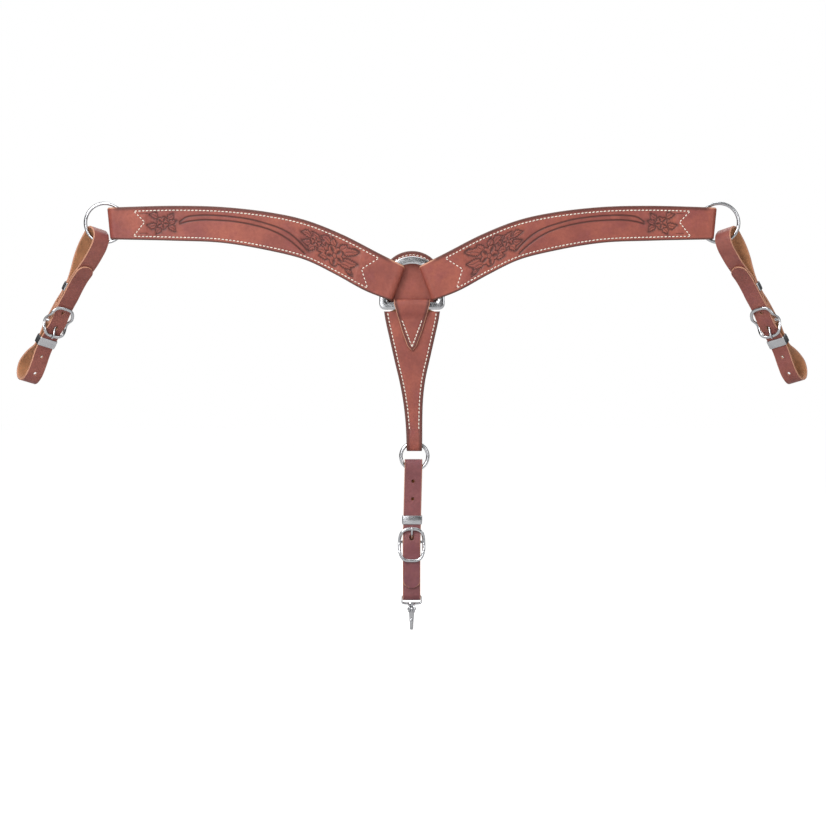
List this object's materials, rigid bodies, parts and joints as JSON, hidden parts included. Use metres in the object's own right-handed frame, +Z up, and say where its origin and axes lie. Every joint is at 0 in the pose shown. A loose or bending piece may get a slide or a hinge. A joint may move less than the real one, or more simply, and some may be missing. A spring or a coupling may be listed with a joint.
{
  "type": "breastplate",
  "caption": "Western horse breastplate: tooled leather arms and tapered drop on a centre dee and round safe, buckled tug straps on end rings, centre strap with snap.",
  "frame": {"origin": "middle of the flat back of the round safe, which lies on the horse's chest", "axes": "+X to the viewer's right along the arms, +Z up, -Y towards the front of the leather, +Y towards the horse"},
  "size_m": [1.1504, 0.1064, 0.6121],
  "materials": {
    "grain_leather": "reddish-brown grain, waxed, tooled on the arms",
    "strap_leather": "burgundy-brown strap leather, tan flesh side",
    "lining_leather": "plain lining leather",
    "hardware": "bright stainless"
  },
  "bodies": {
    "drop": {"safe_back": "grain_leather", "safe_front": "grain_leather", "drop_lining": "lining_leather", "drop_face": "grain_leather"},
    "dee": {"center_dee": "hardware"},
    "right_arm": {"right_arm_face": "grain_leather", "right_arm_lining": "lining_leather"},
    "right_ring": {"right_outer_ring": "hardware"},
    "right_tug": {"right_tug_strap": "strap_leather", "right_tug_buckle": "hardware"},
    "right_tongue": {"right_tug_tongue": "hardware"},
    "right_upper_keeper": {"right_tug_upper_keeper": "hardware"},
    "right_lower_keeper": {"right_tug_lower_keeper": "hardware"},
    "left_arm": {"left_arm_face": "grain_leather", "left_arm_lining": "lining_leather"},
    "left_ring": {"left_outer_ring": "hardware"},
    "left_tug": {"left_tug_strap": "strap_leather", "left_tug_buckle": "hardware"},
    "left_tongue": {"left_tug_tongue": "hardware"},
    "left_upper_keeper": {"left_tug_upper_keeper": "hardware"},
    "left_lower_keeper": {"left_tug_lower_keeper": "hardware"},
    "lower_ring": {"lower_ring": "hardware"},
    "center_strap": {"center_strap": "strap_leather", "center_buckle": "hardware"},
    "center_tongue": {"center_tongue": "hardware"},
    "center_keeper": {"center_keeper": "hardware"},
    "snap": {"snap_body": "hardware", "snap_rivet": "hardware"},
    "snap_gate": {"snap_gate": "hardware"}
  },
  "joints": [
    {"name": "dee_tilt", "type": "hinge", "parent": "drop", "child": "dee", "pos_m": [0, -0.01305, -0.03475], "axis": [1, 0, 0], "range_deg": [0, 8]},
    {"name": "right_arm_swing", "type": "hinge", "parent": "dee", "child": "right_arm", "pos_m": [0.03107, -0.01305, 0.0013], "axis": [-0.3619, 0, 0.9322], "range_deg": [-4, 3]},
    {"name": "right_ring_swing", "type": "hinge", "parent": "right_arm", "child": "right_ring", "pos_m": [0.4185, -0.01305, 0.0835], "axis": [0.0984, 0, 0.9951], "range_deg": [-0.4, 6]},
    {"name": "right_tug_swing", "type": "hinge", "parent": "right_ring", "child": "right_tug", "pos_m": [0.4511, -0.01305, 0.05896], "axis": [0.7899, -0.5599, 0.25], "range_deg": [-14, 10]},
    {"name": "right_tongue_lift", "type": "hinge", "parent": "right_tug", "child": "right_tongue", "pos_m": [0.51362, 0.02349, -0.05675], "axis": [0.7899, -0.5599, 0.25], "range_deg": [-6, 0]},
    {"name": "right_upper_keeper_slide", "type": "slide", "parent": "right_tug", "child": "right_upper_keeper", "axis": [0.458, 0.2677, -0.8477], "range_m": [0, 0.004]},
    {"name": "right_lower_keeper_slide", "type": "slide", "parent": "right_tug", "child": "right_lower_keeper", "axis": [0.458, 0.2677, -0.8477], "range_m": [-0.001, 0.003]},
    {"name": "left_arm_swing", "type": "hinge", "parent": "dee", "child": "left_arm", "pos_m": [-0.03107, -0.01305, 0.0013], "axis": [-0.3619, 0, -0.9322], "range_deg": [-4, 3]},
    {"name": "left_ring_swing", "type": "hinge", "parent": "left_arm", "child": "left_ring", "pos_m": [-0.4185, -0.01305, 0.0835], "axis": [0.0984, 0, -0.9951], "range_deg": [-0.4, 6]},
    {"name": "left_tug_swing", "type": "hinge", "parent": "left_ring", "child": "left_tug", "pos_m": [-0.4511, -0.01305, 0.05896], "axis": [0.7899, 0.5599, -0.25], "range_deg": [-14, 10]},
    {"name": "left_tongue_lift", "type": "hinge", "parent": "left_tug", "child": "left_tongue", "pos_m": [-0.51362, 0.02349, -0.05675], "axis": [0.7899, 0.5599, -0.25], "range_deg": [-6, 0]},
    {"name": "left_upper_keeper_slide", "type": "slide", "parent": "left_tug", "child": "left_upper_keeper", "axis": [-0.458, 0.2677, -0.8477], "range_m": [0, 0.004]},
    {"name": "left_lower_keeper_slide", "type": "slide", "parent": "left_tug", "child": "left_lower_keeper", "axis": [-0.458, 0.2677, -0.8477], "range_m": [-0.001, 0.003]},
    {"name": "lower_ring_swing", "type": "hinge", "parent": "drop", "child": "lower_ring", "pos_m": [0.0033, -0.0099, -0.23035], "axis": [1, 0, 0], "range_deg": [-10.5, 9]},
    {"name": "center_strap_swing", "type": "hinge", "parent": "lower_ring", "child": "center_strap", "pos_m": [0.0033, -0.0099, -0.26885], "axis": [1, 0, 0], "range_deg": [-9, 11]},
    {"name": "center_tongue_lift", "type": "hinge", "parent": "center_strap", "child": "center_tongue", "pos_m": [-0.0006, -0.0104, -0.372], "axis": [1, 0, 0], "range_deg": [0, 6]},
    {"name": "center_keeper_slide", "type": "slide", "parent": "center_strap", "child": "center_keeper", "axis": [0, 0, 1], "range_m": [-0.003, 0.018]},
    {"name": "snap_swing", "type": "hinge", "parent": "center_strap", "child": "snap", "pos_m": [-0.0006, -0.0092, -0.4484], "axis": [1, 0, 0], "range_deg": [-30, 30]},
    {"name": "snap_gate_open", "type": "hinge", "parent": "snap", "child": "snap_gate", "pos_m": [-0.0006, -0.015, -0.4672], "axis": [1, 0, 0], "range_deg": [0, 20], "stiffness_Nm_per_rad": 0.02}
  ]
}
